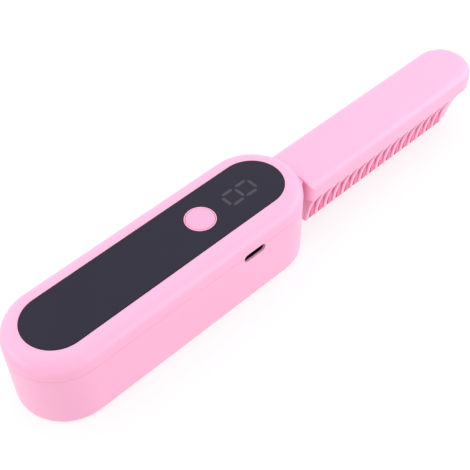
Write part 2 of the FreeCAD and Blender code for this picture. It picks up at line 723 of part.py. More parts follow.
def comb_form(half_width, x_root, top_z, corner, z_low):
    """Solid of the comb's back: a rounded section run along X and turned at the tip."""
    height = top_z - z_low
    straight = box(x_root, TIP_CENTRE, -half_width, half_width, z_low, top_z)
    straight = straight.makeFillet(corner, ridges_at_height(straight, top_z))
    tip = Part.makeCylinder(half_width, height, Vector(TIP_CENTRE, 0, z_low))
    tip = tip.makeFillet(corner, edges_at_height(tip, top_z))
    tip = tip.common(box(TIP_CENTRE, COMB_TIP + 1, -half_width, half_width, z_low - 1, top_z + 1))
    return joined([straight, tip])


def comb_cover():
    """Hollow back of the comb head with its screw bosses."""
    outer = comb_form(COMB_HALF, COMB_ROOT, COMB_TOP_Z, COMB_ROUND, COMB_SEAM_Z)
    crest = [edge for edge in edges_in_plane_x(outer, COMB_ROOT) if edge.BoundBox.ZMin > COMB_SEAM_Z + 1e-3]
    outer = outer.makeFillet(ROOT_EDGE, crest)
    outer = outer.cut(root_corners(COMB_TOP_Z + 1))
    inner = comb_form(
        COMB_HALF - COMB_WALL,
        COMB_ROOT + COMB_WALL,
        COVER_INNER_TOP,
        COMB_ROUND - COMB_WALL,
        COMB_SEAM_Z - 1,
    )
    shell = outer.cut(inner)
    boss_top = COMB_TOP_Z - COMB_WALL / 2
    bosses = []
    for spots, seat in ((ARM_SCREW_SPOTS, TONGUE_TOP), (COMB_SCREW_SPOTS, TEETH_LIP_Z)):
        for x, y in spots:
            bosses.append(upright(x, y, COMB_BOSS_R, seat + CONTACT_GAP, boss_top))
    shell = shell.fuse(bosses)
    mouth_half = ARM_HALF - 0.4
    cutters = [
        box(
            COMB_ROOT - 1,
            COMB_ROOT + COMB_WALL + 0.1,
            -mouth_half,
            mouth_half,
            TONGUE_LOW - 0.1,
            TONGUE_TOP + 0.1,
        )
    ]
    for x, y in ARM_SCREW_SPOTS + COMB_SCREW_SPOTS:
        cutters.append(upright(x, y, SCREW_R + SCREW_PLAY, COMB_SEAM_Z - 1, COVER_INNER_TOP + 0.5))
    return shell.cut(cutters).removeSplitter()


def fin_section(x_low, x_high, inset):
    """Block along X with the fins' outline less an inset: straight shoulders, hollow flanks, flat tip."""
    shoulder = COMB_HALF - inset
    waist = FIN_WAIST_HALF - inset
    tip = FIN_TIP_HALF - inset

    def at(y, z):
        return Vector(x_low, y, z)

    edges = [
        Part.makeLine(at(-shoulder, COMB_SEAM_Z), at(-shoulder, FIN_TOP_Z)),
        Part.Arc(at(-shoulder, FIN_TOP_Z), at(-waist, FIN_WAIST_Z), at(-tip, FIN_TIP_Z)).toShape(),
        Part.makeLine(at(-tip, FIN_TIP_Z), at(tip, FIN_TIP_Z)),
        Part.Arc(at(tip, FIN_TIP_Z), at(waist, FIN_WAIST_Z), at(shoulder, FIN_TOP_Z)).toShape(),
        Part.makeLine(at(shoulder, FIN_TOP_Z), at(shoulder, COMB_SEAM_Z)),
        Part.makeLine(at(shoulder, COMB_SEAM_Z), at(-shoulder, COMB_SEAM_Z)),
    ]
    block = Part.Face(Part.Wire(edges)).extrude(Vector(x_high - x_low, 0, 0))
    block = block.makeFillet(FIN_SHOULDER, ridges_at_height(block, FIN_TOP_Z))
    return block.makeFillet(FIN_CORNER, ridges_at_height(block, FIN_TIP_Z))


def fin_cell():
    """Half a fin, a round-topped gap and half a fin, with the gap's rims rounded; it starts at X = 0."""
    gap_half = (FIN_PITCH - FIN_THICKNESS) / 2
    middle = FIN_PITCH / 2
    arch_z = FIN_TOP_Z - gap_half
    block = fin_section(0, FIN_PITCH, 0)
    gap = joined(
        [
            box(middle - gap_half, middle + gap_half, -COMB_HALF - 1, COMB_HALF + 1, FIN_TIP_Z - 1, arch_z),
            crosswise(middle, arch_z, gap_half, -COMB_HALF - 1, COMB_HALF + 1),
        ]
    )
    cell = block.cut(gap).removeSplitter()
    rims = []
    for edge in cell.Edges:
        bounds = edge.BoundBox
        inside = bounds.XMin > 1e-3 and bounds.XMax < FIN_PITCH - 1e-3
        crossing = bounds.YMin < 0 < bounds.YMax and bounds.ZMin > FIN_TIP_Z + 1
        if inside and not crossing:
            rims.append(edge)
    return cell.makeFillet(FIN_EDGE, rims)


def root_corners(z_high):
    """Cutters that round the two upright corners at the comb's root."""
    centre_x = COMB_ROOT + ROOT_ROUND
    cutters = []
    for side in (-1, 1):
        centre_y = side * (COMB_HALF - ROOT_ROUND)
        edge_y = side * (COMB_HALF + 1)
        corner = box(COMB_ROOT - 1, centre_x, min(centre_y, edge_y), max(centre_y, edge_y), 0, z_high)
        cutters.append(corner.cut(upright(centre_x, centre_y, ROOT_ROUND, 0, z_high)))
    return cutters


def end_web(x_low, x_foot, x_high):
    """Web behind the last fin, narrower than the fins, that leans out from the tip to the comb's nose."""
    outside = [
        (x_foot, FIN_TIP_Z - 1),
        (x_foot, FIN_TIP_Z),
        (x_high, FIN_TOP_Z),
        (x_high + 1, FIN_TOP_Z),
        (x_high + 1, FIN_TIP_Z - 1),
    ]
    return fin_section(x_low, x_high, WEB_INSET).cut(prism_along_y(outside, -COMB_WIDTH, COMB_WIDTH))


def comb_teeth():
    """Fins and the frame that carries them, in one moulding, with a window for the heating plate."""
    cell = fin_cell()
    first = HANDLE_RIGHT + FIN_OFFSET + FIN_THICKNESS / 2
    last = first + (FIN_COUNT - 1) * FIN_PITCH
    half_gap_left = first - FIN_PITCH / 2
    nose_left = last + FIN_PITCH / 2
    last_face = last + FIN_THICKNESS / 2
    cells = []
    for index in range(-1, FIN_COUNT):
        copy = cell.copy()
        copy.translate(Vector(first + index * FIN_PITCH, 0, 0))
        cells.append(copy)
    cells[0] = cells[0].common(box(half_gap_left, first, -COMB_WIDTH, COMB_WIDTH, 0, COMB_TOP_Z))
    cells[-1] = cells[-1].common(box(last, nose_left, -COMB_WIDTH, COMB_WIDTH, 0, COMB_TOP_Z))
    cells.append(end_web(last, last_face + WEB_FOOT, last_face + WEB_REACH))
    plan = stadium(COMB_ROOT - COMB_WIDTH, COMB_TIP, COMB_HALF, FIN_TOP_Z, COMB_SEAM_Z)
    root = plan.common(box(COMB_ROOT, half_gap_left, -COMB_HALF, COMB_HALF, 0, COMB_TOP_Z))
    nose = plan.common(box(nose_left, COMB_TIP + 1, -COMB_HALF, COMB_HALF, 0, COMB_TOP_Z))
    rim = [edge for edge in edges_at_height(nose, FIN_TOP_Z) if edge.BoundBox.XLength > 1e-3]
    nose = nose.makeFillet(FIN_EDGE, rim)
    lip_half = COMB_HALF - COMB_WALL - 0.1
    lip = stadium(COMB_ROOT - COMB_WIDTH, COMB_TIP - COMB_WALL - 0.1, lip_half, COMB_SEAM_Z, TEETH_LIP_Z)
    lip = lip.common(box(COMB_ROOT + COMB_WALL + 0.1, COMB_TIP, -lip_half, lip_half, 0, COMB_TOP_Z))
    frame = cells[0].fuse(cells[1:] + [root, nose, lip])
    left = PLATE_LEFT - PLATE_FIT
    right = PLATE_RIGHT + PLATE_FIT
    half = PLATE_HALF + PLATE_FIT
    cutters = [box(left, right, -half, half, PLATE_LOW - PLATE_FIT, COMB_TOP_Z)]
    cutters += root_corners(COMB_SEAM_Z)
    cutters += screw_holes(COMB_SCREW_SPOTS, COMB_SEAM_Z, FIN_TOP_Z - 1, COMB_TOP_Z)
    return frame.cut(cutters).removeSplitter()


def hot_tooth(x):
    """Heated tooth in one gap, just inside the fins' outline so that they keep it off the scalp."""
    tip_z = FIN_TIP_Z + HOT_TIP_RISE
    half_outline = [(HOT_TIP_HALF, tip_z), (HOT_TOOTH_HALF, HOT_TAPER_Z), (HOT_TOOTH_HALF, PLATE_LOW)]
    outline = half_outline + [(-y, z) for y, z in reversed(half_outline)]
    tooth = prism_along_x(outline, x - HOT_TOOTH_THICK / 2, x + HOT_TOOTH_THICK / 2)
    return tooth.makeFillet(HOT_CORNER, ridges_at_height(tooth, tip_z))


def heating_plate():
    """Aluminium plate in the frame's window, with a flange above and a heated tooth in every gap."""
    solids = [
        box(PLATE_LEFT, PLATE_RIGHT, -PLATE_HALF, PLATE_HALF, PLATE_LOW, FLANGE_LOW),
        box(PLATE_LEFT - 0.8, PLATE_RIGHT + 0.8, -PLATE_HALF - 1, PLATE_HALF + 1, FLANGE_LOW, FLANGE_TOP),
    ]
    gap_first = HANDLE_RIGHT + FIN_OFFSET + FIN_THICKNESS / 2 + FIN_PITCH / 2
    for index in range(FIN_COUNT - 1):
        solids.append(hot_tooth(gap_first + index * FIN_PITCH))
    return joined(solids)


def ceramic_heater():
    """Flat ceramic heating element on the plate."""
    return box(HEATER_LEFT, HEATER_RIGHT, -HEATER_HALF, HEATER_HALF, HEATER_LOW, HEATER_TOP)


def insulation_pad():
    """Heat-proof pad over the heating element."""
    return box(HEATER_LEFT + 4, HEATER_RIGHT, -INSULATION_HALF, INSULATION_HALF, PAD_LOW, PAD_TOP)


def heater_clamp():
    """Spring leaf that presses the pad, the element and the plate down; its bowed ends meet the cover."""
    middle = (HEATER_LEFT + HEATER_RIGHT) / 2
    low = PAD_TOP + CONTACT_GAP
    high = COVER_INNER_TOP - CONTACT_GAP - CLAMP_STEEL
    bends = [(-1, high), (-0.75, high), (-0.35, low), (0.35, low), (0.75, high), (1, high)]
    outline = [(middle + share * CLAMP_REACH, z) for share, z in bends]
    outline += [(x, z + CLAMP_STEEL) for x, z in reversed(outline)]
    return prism_along_y(outline, -CLAMP_HALF, CLAMP_HALF)


def thermistor():
    """Glass temperature sensor on the plate beside the element."""
    left = HEATER_LEFT + 22
    bead = lengthwise(SENSOR_Y, FLANGE_TOP + SENSOR_R + CONTACT_GAP, SENSOR_R, left, left + SENSOR_LONG)
    ends = edges_in_plane_x(bead, left) + edges_in_plane_x(bead, left + SENSOR_LONG)
    return bead.makeFillet(0.5, ends)


def thermal_fuse():
    """Round thermal cut-out on the plate's other side."""
    left = HEATER_LEFT + 14
    return lengthwise(FUSE_Y, FLANGE_TOP + FUSE_R + CONTACT_GAP, FUSE_R, left, left + FUSE_LONG)


def heater_leads():
    """Two leads from the heating element back to the comb's root."""
    start = COMB_ROOT + COMB_WALL + 0.4
    high = COVER_INNER_TOP - LEAD_R - 0.2
    bend = TONGUE_RIGHT - 0.5
    end = HEATER_LEFT + 3.5
    low = HEATER_TOP + LEAD_R
    return Part.makeCompound([bent_lead(y, start, high, bend, end, low) for y in (-0.9, 0.9)])


def build():
    """Every node of the comb by its name."""
    form = handle_form()
    return {
        "handle_body": handle_body(form),
        "top_cover": top_cover(form),
        "control_panel": control_panel(),
        "digit_segments": digit_segments(),
        "display_module": display_module(),
        "button_cap": button_cap(),
        "switch_plunger": switch_plunger(),
        "tact_switch": tact_switch(),
        "main_board": main_board(),
        "board_screws": board_screws(),
        "control_chip": control_chip(),
        "usb_socket": usb_socket(),
        "usb_tongue": usb_tongue(),
        "battery_cell": battery_cell(),
        "battery_pad": battery_pad(),
        "battery_leads": battery_leads(),
        "hinge_bracket": hinge_bracket(),
        "bracket_screws": screws_up(BRACKET_SCREW_SPOTS, SLOT_TOP - BRACKET_STEEL, CEILING_Z),
        "hinge_pin": hinge_pin(),
        "friction_washers": friction_washers(),
        "cover_screws": screws_up(COVER_SCREW_SPOTS, COVER_SCREW_SEAT, CEILING_Z - 0.6),
        "hinge_arm": hinge_arm(),
        "arm_screws": screws_up(ARM_SCREW_SPOTS, TONGUE_LOW + 1.2, COVER_INNER_TOP + 0.3),
        "comb_cover": comb_cover(),
        "comb_teeth": comb_teeth(),
        "comb_screws": screws_up(COMB_SCREW_SPOTS, COMB_SEAM_Z, COVER_INNER_TOP + 0.2),
        "heating_plate": heating_plate(),
        "ceramic_heater": ceramic_heater(),
        "insulation_pad": insulation_pad(),
        "heater_clamp": heater_clamp(),
        "thermistor": thermistor(),
        "thermal_fuse": thermal_fuse(),
        "heater_leads": heater_leads(),
    }


def main():
    """Writes one file per node."""
    os.makedirs("parts", exist_ok=True)
    for name, shape in build().items():
        shape.exportStep(f"parts/{name}.step")
        print(name, "valid" if shape.isValid() else "NOT VALID", len(shape.Solids), round(shape.Volume, 1))


main()
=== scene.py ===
import math

import bpy
from bpy.props import FloatProperty, FloatVectorProperty, IntProperty, PointerProperty
from mathutils import Matrix, Quaternion, Vector


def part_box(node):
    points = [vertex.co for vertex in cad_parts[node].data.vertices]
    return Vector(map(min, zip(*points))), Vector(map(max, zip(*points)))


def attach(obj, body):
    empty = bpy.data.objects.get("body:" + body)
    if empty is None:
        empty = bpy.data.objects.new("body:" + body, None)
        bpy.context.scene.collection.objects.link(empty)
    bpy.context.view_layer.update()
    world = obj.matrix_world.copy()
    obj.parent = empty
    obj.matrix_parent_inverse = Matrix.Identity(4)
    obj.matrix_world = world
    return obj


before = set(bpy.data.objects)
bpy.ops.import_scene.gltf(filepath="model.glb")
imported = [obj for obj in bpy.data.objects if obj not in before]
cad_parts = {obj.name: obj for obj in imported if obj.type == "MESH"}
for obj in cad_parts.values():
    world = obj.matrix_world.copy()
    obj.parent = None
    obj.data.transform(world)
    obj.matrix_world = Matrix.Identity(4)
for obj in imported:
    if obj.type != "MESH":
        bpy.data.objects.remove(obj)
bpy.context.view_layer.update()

bl_info = {
    "name": "Folding heated comb",
    "version": (1, 0, 0),
    "blender": (4, 5, 0),
    "location": "View3D > Sidebar > Heated comb",
    "description": "Finishes and small pieces of a cordless folding heated comb, and its studio",
    "category": "Object",
}

MM = 0.001

# Values between which a noise pattern mostly stays
NOISE_LOW = 0.3
NOISE_HIGH = 0.7
# Distance from a cell's middle, in cells, at which its shade has changed in full
CELL_EDGE = 0.6
# Length of one band of the wave pattern at a scale of 1
WAVE = 2 * math.pi / 20
# Share of its depth that a relief shows
RELIEF = 0.5

# Width of the camera's sensor in mm, and the nearest and the farthest that it sees in metres
SENSOR = 36.0
NEAREST = 0.01
FARTHEST = 50.0
# Cosine to the bright side at which the studio light has faded out
DARK_SIDE = -0.7
# How far below the horizon the light from below has its full strength
HORIZON = 0.05
# Soft lamps: name, setting that holds the power, place of the middle, then width and height
LAMPS = (
    ("front_softbox", "front", (-0.3, -0.45, 0.08), (0.6, 0.16)),
    ("side_softbox", "side", (0.2, -0.25, 0.075), (0.6, 0.18)),
    ("end_softbox", "end", (-0.5, 0.2, 0.1), (0.4, 0.18)),
)


def linear(code):
    """Linear colour, with full alpha, of an sRGB hex code."""
    parts = [int(code[start:start + 2], 16) / 255 for start in (1, 3, 5)]
    return tuple(p / 12.92 if p <= 0.04045 else ((p + 0.055) / 1.055) ** 2.4 for p in parts) + (1.0,)


WHITE = linear("#FFFFFF")


def colour(label, words, code):
    """Colour setting with its default from a hex code."""
    return FloatVectorProperty(
        name=label, description=words, subtype="COLOR", size=4, min=0, max=1, default=linear(code)
    )


def length(label, words, millimetres):
    """Length setting with its default in millimetres."""
    return FloatProperty(
        name=label, description=words, subtype="DISTANCE", unit="LENGTH", min=0, default=millimetres * MM
    )


def power(label, words, watts):
    """Lamp power setting."""
    return FloatProperty(name=label, description=words, subtype="POWER", unit="POWER", min=0, default=watts)


def share(label, words, part):
    """Setting between nothing and the whole."""
    return FloatProperty(name=label, description=words, subtype="FACTOR", min=0, max=1, default=part)


class CombFinish(bpy.types.PropertyGroup):
    """Colours of the comb's finishes and the sizes of their textures."""

    casing: colour("Casing", "Satin pink of the four outer mouldings", "#FEB2D4")
    button: colour("Button", "Smooth pink of the push button", "#FEA9CE")
    # The arm's pink is a little deeper than the casing's as painted shade for the crevice between handle and
    # comb where it sits
    arm: colour("Hinge arm", "Pink of the arm between handle and comb", "#FEABD0")
    # The coating is pink, and its deep tone is partly painted shade for the gaps between the fins
    hot_plate_and_shade: colour("Heating plate", "Deep pink coating of the plate and its teeth", "#F0709F")
    panel: colour("Panel", "Grey-violet backing seen through the panel", "#272434")
    segment: colour("Digit", "Smoky grey of the unlit digit", "#4A4652")
    board: colour("Board", "Green solder mask of the circuit board", "#155C34")
    lead: colour("Leads", "Red silicone of the leads", "#B01E1E")
    gloss: share("Casing roughness", "Roughness of the casings' satin skin", 0.32)
    grain: length("Mould grain", "Size of a moulding's eroded texture as drawn", 0.9)
    bite: length("Grain depth", "Depth of a moulding's eroded texture", 0.012)
    flow: length("Colour drift", "Size of the soft colour clouds in a moulding", 30.0)
    sheen: length("Sheen drift", "Size of the soft clouds in a moulding's sheen", 7.5)


class PortSizes(bpy.types.PropertyGroup):
    """Sizes of the gold contacts on the charging port's tongue."""

    contacts: IntProperty(
        name="Contacts", description="Contacts on each face of the tongue", min=1, default=12
    )
    pitch: length("Pitch", "Spacing of the contacts along the tongue", 0.5)
    width: length("Width", "Width of one contact", 0.25)
    reach: length("Reach", "Length of one contact", 3.4)
    rise: length("Rise", "Height of a contact over the tongue", 0.04)
    ease: length("Eased edge", "Width of the rounding along a contact's edges", 0.01)
    setback: length("Set back", "Distance of the contacts from the tongue's front", 0.4)


class Studio(bpy.types.PropertyGroup):
    """Camera, floor and lamps."""

    eye: FloatVectorProperty(
        name="Camera", description="Where the camera stands", subtype="TRANSLATION", unit="LENGTH",
        default=(-0.18541, -0.18929, 0.28692),
    )
    aim: FloatVectorProperty(
        name="Aim", description="Point at the middle of the picture", subtype="TRANSLATION", unit="LENGTH",
        default=(-0.01674, -0.00245, 0.015),
    )
    roll: FloatProperty(
        name="Roll", description="Turn of the camera about its view", subtype="ANGLE", unit="ROTATION",
        default=math.radians(-2.2255),
    )
    lens: FloatProperty(name="Lens", description="Focal length of the camera", unit="CAMERA", default=83.45)
    floor: length("Floor", "Side of the square floor", 8000.0)
    paper: share("Paper white", "White of the floor that the camera sees", 0.96)
    glow: share("Floor glow", "Share of plain white in the floor that the camera sees", 0.72)
    bounce: share("Floor bounce", "Share of the light that the floor gives back to the comb", 0.25)
    lift: share("Floor lift", "Soft light that the floor gives off from below", 0.65)
    under: share("Light from below", "Strength of the light that reaches what is under the floor", 0.88)
    sky: FloatProperty(
        name="Sky", description="Strength of the studio light where it is brightest", min=0, default=1.52
    )
    sky_side: FloatVectorProperty(
        name="Bright side", description="Way to the brightest part of the studio light", subtype="DIRECTION",
        default=(0.0, 0.45, 0.89),
    )
    front: power("Front lamp", "Power of the low lamp in front of the handle", 0.25)
    side: power("Side lamp", "Power of the low lamp in front of the comb head", 0.62)
    end: power("End lamp", "Power of the lamp that faces the handle's end", 0.38)


def add_node(tree, kind, values=None, links=None, **settings):
    """Adds a node with its settings, its plain socket values and its incoming links."""
    node = tree.nodes.new(kind)
    for name, value in settings.items():
        setattr(node, name, value)
    for name, value in (values or {}).items():
        node.inputs[name].default_value = value
    for name, socket in (links or {}).items():
        tree.links.new(socket, node.inputs[name])
    return node


def new_material(name, **shader):
    """Node material with one shader; gives it, its tree, the shader and the piece's coordinates."""
    material = bpy.data.materials.new(name)
    material.use_nodes = True
    tree = material.node_tree
    tree.nodes.clear()
    values = {socket.replace("_", " "): value for socket, value in shader.items()}
    surface = add_node(tree, "ShaderNodeBsdfPrincipled", values)
    add_node(tree, "ShaderNodeOutputMaterial", links={"Surface": surface.outputs[0]})
    place = add_node(tree, "ShaderNodeTexCoord").outputs["Object"]
    return material, tree, surface, place


def clouds(tree, place, size, low, high, detail=2.0):
    """Soft clouds of a real size in metres, spread between two values."""
    noise = add_node(tree, "ShaderNodeTexNoise", {"Scale": 1 / size, "Detail": detail}, {"Vector": place})
    limits = {"From Min": NOISE_LOW, "From Max": NOISE_HIGH, "To Min": low, "To Max": high}
    return add_node(tree, "ShaderNodeMapRange", limits, {"Value": noise.outputs["Fac"]}).outputs["Result"]


def streaks(tree, place, size, ratio, low, high, detail):
    """Clouds of a real width in metres, drawn out along X to so many times that width."""
    along = add_node(tree, "ShaderNodeMapping", {"Scale": (1 / ratio, 1.0, 1.0)}, {"Vector": place})
    return clouds(tree, along.outputs["Vector"], size, low, high, detail)


def vary(tree, surface, base, shade, roughness=None, height=None, depth=0.0):
    """Lets patterns vary a shader's colour and, where given, its roughness and its relief."""
    varied = add_node(tree, "ShaderNodeVectorMath", {0: base[:3]}, {"Scale": shade}, operation="SCALE")
    tree.links.new(varied.outputs["Vector"], surface.inputs["Base Color"])
    if roughness is not None:
        tree.links.new(roughness, surface.inputs["Roughness"])
    if height is not None:
        bump = add_node(tree, "ShaderNodeBump", {"Strength": RELIEF, "Distance": depth}, {"Height": height})
        tree.links.new(bump.outputs["Normal"], surface.inputs["Normal"])


def moulded_plastic(name, base, finish, roughness):
    """Moulded ABS or nylon: an even colour with faint clouds, and an eroded skin that breaks up the shine."""
    material, tree, surface, place = new_material(name, IOR=1.53)
    shade = clouds(tree, place, finish.flow, low=0.985, high=1.01)
    sheen = clouds(tree, place, finish.sheen, low=roughness - 0.03, high=roughness + 0.04)
    # The real grain is about 0.1 mm, too fine to show, so it is drawn coarser.
    values = {"Scale": 1 / finish.grain, "Detail": 3.0}
    grain = add_node(tree, "ShaderNodeTexNoise", values, {"Vector": place}).outputs["Fac"]
    vary(tree, surface, base, shade, sheen, grain, finish.bite)
    return material


def smoked_acrylic(name, base, roughness):
    """Back-printed acrylic: dark and even, with a smooth satin face that holds faint wipe marks."""
    material, tree, surface, place = new_material(name, IOR=1.49, Specular_IOR_Level=0.2)
    shade = clouds(tree, place, size=18 * MM, low=0.96, high=1.04)
    low, high = roughness - 0.015, roughness + 0.02
    wipes = streaks(tree, place, size=5 * MM, ratio=4, low=low, high=high, detail=4.0)
    vary(tree, surface, base, shade, wipes)
    return material


def drawn_metal(name, base, roughness):
    """Drawn or plated metal: bright, with faint marks along its length and slight stains."""
    material, tree, surface, place = new_material(name, Metallic=1.0)
    stains = clouds(tree, place, size=2 * MM, low=0.94, high=1.03)
    low, high = roughness - 0.06, roughness + 0.1
    marks = streaks(tree, place, size=0.3 * MM, ratio=12.5, low=low, high=high, detail=3.0)
    vary(tree, surface, base, stains, marks)
    return material


def ceramic_coat(name, base, roughness):
    """Sprayed ceramic coating on aluminium: an even colour with fine speckle and a slight orange peel."""
    material, tree, surface, place = new_material(name, IOR=1.6, Roughness=roughness)
    speckle = clouds(tree, place, size=0.7 * MM, low=0.95, high=1.04)
    values = {"Scale": 1 / (1.2 * MM), "Detail": 1.0}
    peel = add_node(tree, "ShaderNodeTexNoise", values, {"Vector": place}).outputs["Fac"]
    vary(tree, surface, base, speckle, height=peel, depth=0.01 * MM)
    return material


def grainy(name, base, size, low, high, depth, **shader):
    """Grainy solid such as foam, laminate, ceramic or rubber: cells of a real size that vary the colour."""
    material, tree, surface, place = new_material(name, **shader)
    pattern = add_node(tree, "ShaderNodeTexVoronoi", {"Scale": 1 / size}, {"Vector": place})
    cells = pattern.outputs["Distance"]
    limits = {"From Max": CELL_EDGE, "To Min": low, "To Max": high}
    shade = add_node(tree, "ShaderNodeMapRange", limits, {"Value": cells}).outputs["Result"]
    vary(tree, surface, base, shade, height=cells, depth=depth)
    return material


def woven_glass(name, base, thread):
    """Woven glass cloth: two crossed sets of threads, matt and pale."""
    material, tree, surface, place = new_material(name, Roughness=0.85)
    values = {"Scale": WAVE / thread}
    across, along = (
        add_node(tree, "ShaderNodeTexWave", values, {"Vector": place}, bands_direction=axis).outputs["Fac"]
        for axis in ("X", "Y")
    )
    threads = {0: across, 1: along}
    weave = add_node(tree, "ShaderNodeMath", links=threads, operation="MULTIPLY").outputs["Value"]
    limits = {"To Min": 0.75, "To Max": 1.05}
    shade = add_node(tree, "ShaderNodeMapRange", limits, {"Value": weave}).outputs["Result"]
    vary(tree, surface, base, shade, height=weave, depth=0.05 * MM)
    return material


def paint(material, *names):
    """Gives CAD nodes one finish."""
    for name in names:
        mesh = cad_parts[name].data
        mesh.materials.clear()
        mesh.materials.append(material)


class COMB_OT_casings(bpy.types.Operator):
    """Finishes the handle's two casings, the comb's back and its fins"""

    bl_idname = "comb.casings"
    bl_label = "Casings"

    def execute(self, context):
        finish = context.scene.comb_finish
        pink = moulded_plastic("satin_pink_abs", finish.casing, finish, finish.gloss)
        paint(pink, "handle_body", "top_cover", "comb_cover", "comb_teeth")
        return {"FINISHED"}


class COMB_OT_control_panel(bpy.types.Operator):
    """Finishes the dark panel and the digit's light guides"""

    bl_idname = "comb.control_panel"
    bl_label = "Control panel"

    def execute(self, context):
        finish = context.scene.comb_finish
        paint(smoked_acrylic("smoked_acrylic", finish.panel, roughness=0.38), "control_panel")
        paint(smoked_acrylic("smoky_light_guide", finish.segment, roughness=0.45), "digit_segments")
        return {"FINISHED"}


class COMB_OT_button(bpy.types.Operator):
    """Finishes the push button and the switch and display under the panel"""

    bl_idname = "comb.button"
    bl_label = "Button"

    def execute(self, context):
        finish = context.scene.comb_finish
        paint(moulded_plastic("smooth_pink_abs", finish.button, finish, roughness=0.33), "button_cap")
        # Moulded nylon: near black, with a fine dull grain
        black = grainy(
            "black_nylon", linear("#141416"), size=0.4 * MM, low=0.8, high=1.2, depth=0.005 * MM,
            Roughness=0.5, IOR=1.53,
        )
        paint(black, "tact_switch", "switch_plunger", "display_module", "control_chip")
        return {"FINISHED"}


class COMB_OT_charging_port(bpy.types.Operator):
    """Finishes the charging receptacle and lays the gold contacts on its tongue"""

    bl_idname = "comb.charging_port"
    bl_label = "Charging port"

    def execute(self, context):
        # Black nickel plate: a dark shine with faint marks from drawing
        paint(drawn_metal("black_nickel_shell", linear("#3A3638"), roughness=0.36), "usb_socket")
        # Moulded polymer: black and a little smoother than the nylon
        black = grainy(
            "black_polymer", linear("#101012"), size=0.3 * MM, low=0.8, high=1.2, depth=0.004 * MM,
            Roughness=0.45,
        )
        paint(black, "usb_tongue")
        contacts = self.lay_contacts(context, context.scene.comb_port)
        # Gold flash: a thin plate with a warm shine
        contacts.data.materials.append(drawn_metal("gold_flash", linear("#E5B567"), roughness=0.22))
        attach(contacts, "handle")
        return {"FINISHED"}

    def lay_contacts(self, context, sizes):
        """One piece with a row of contacts on each face of the tongue, one modelled and the rest copied."""
        low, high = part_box("usb_tongue")
        x = (low.x + high.x - (sizes.contacts - 1) * sizes.pitch) / 2
        y = low.y + sizes.setback + sizes.reach / 2
        places = [
            Vector((x + index * sizes.pitch, y, z))
            for z in (high.z + sizes.rise / 2, low.z - sizes.rise / 2)
            for index in range(sizes.contacts)
        ]
        first = self.strip(context, sizes, places[0])
        for place in places[1:]:
            copy = first.copy()
            copy.data = first.data.copy()
            copy.data.transform(Matrix.Translation(place - places[0]))
            context.collection.objects.link(copy)
            copy.select_set(True)
        bpy.ops.object.join()
        first.name = "port_contacts"
        first.data.name = "port_contacts"
        return first

    def strip(self, context, sizes, place):
        """One contact with eased edges, left as the only thing selected."""
        bpy.ops.object.select_all(action="DESELECT")
        bpy.ops.mesh.primitive_cube_add(size=1, location=place, scale=(sizes.width, sizes.reach, sizes.rise))
        bpy.ops.object.transform_apply(location=True, rotation=True, scale=True)
        bpy.ops.object.mode_set(mode="EDIT")
        bpy.ops.mesh.select_all(action="SELECT")
        bpy.ops.mesh.bevel(offset=sizes.ease, segments=2)
        bpy.ops.object.mode_set(mode="OBJECT")
        return context.view_layer.objects.active


class COMB_OT_hinge(bpy.types.Operator):
    """Finishes the hinge arm, its steel bracket and pin, the washers and all screws"""

    bl_idname = "comb.hinge"
    bl_label = "Hinge and screws"

    def execute(self, context):
        finish = context.scene.comb_finish
        # The arm's deeper pink is partly painted shade for the crevice it sits in
        paint(moulded_plastic("glass_filled_nylon", finish.arm, finish, roughness=0.5), "hinge_arm")
        # Zinc plate: a pale grey shine
        steel = drawn_metal("zinc_plated_steel", linear("#B4B6BA"), roughness=0.34)
        paint(steel, "hinge_bracket", "hinge_pin", "heater_clamp")
        paint(steel, "bracket_screws", "cover_screws", "board_screws", "arm_screws", "comb_screws")
        # Natural nylon: a milky off-white
        nylon = grainy(
            "natural_nylon", linear("#E6E3D8"), size=0.5 * MM, low=0.95, high=1.03, depth=0.005 * MM,
            Roughness=0.4, IOR=1.53,
        )
        paint(nylon, "friction_washers")
        return {"FINISHED"}


class COMB_OT_heater(bpy.types.Operator):
    """Finishes the heating plate with its teeth, and what lies on it inside the comb"""

    bl_idname = "comb.heater"
    bl_label = "Heater"

    def execute(self, context):
        finish = context.scene.comb_finish
        # The plate's deep pink is partly the coating and partly painted shade for the gaps between the fins
        paint(ceramic_coat("pink_ceramic_coat", finish.hot_plate_and_shade, roughness=0.4), "heating_plate")
        # Fired alumina: white and chalky, with fine grit
        alumina = grainy(
            "white_alumina", linear("#ECEBE4"), size=0.25 * MM, low=0.94, high=1.03, depth=0.01 * MM,
            Roughness=0.6, IOR=1.77,
        )
        paint(alumina, "ceramic_heater")
        paint(woven_glass("woven_glass_pad", linear("#D8D0B8"), thread=0.6 * MM), "insulation_pad")
        # Drawn glass bead: amber and shiny
        amber = grainy(
            "amber_glass", linear("#B87A36"), size=0.8 * MM, low=0.9, high=1.1, depth=0.002 * MM,
            Roughness=0.12, IOR=1.5,
        )
        paint(amber, "thermistor")
        # Drawn aluminium: pale, with fine marks
        paint(drawn_metal("plain_aluminium_can", linear("#C8C9CC"), roughness=0.32), "thermal_fuse")
        # Extruded silicone: deep red and dull
        silicone = grainy(
            "red_silicone", finish.lead, size=0.5 * MM, low=0.92, high=1.05, depth=0.01 * MM,
            Roughness=0.55, IOR=1.43,
        )
        paint(silicone, "heater_leads", "battery_leads")
        return {"FINISHED"}


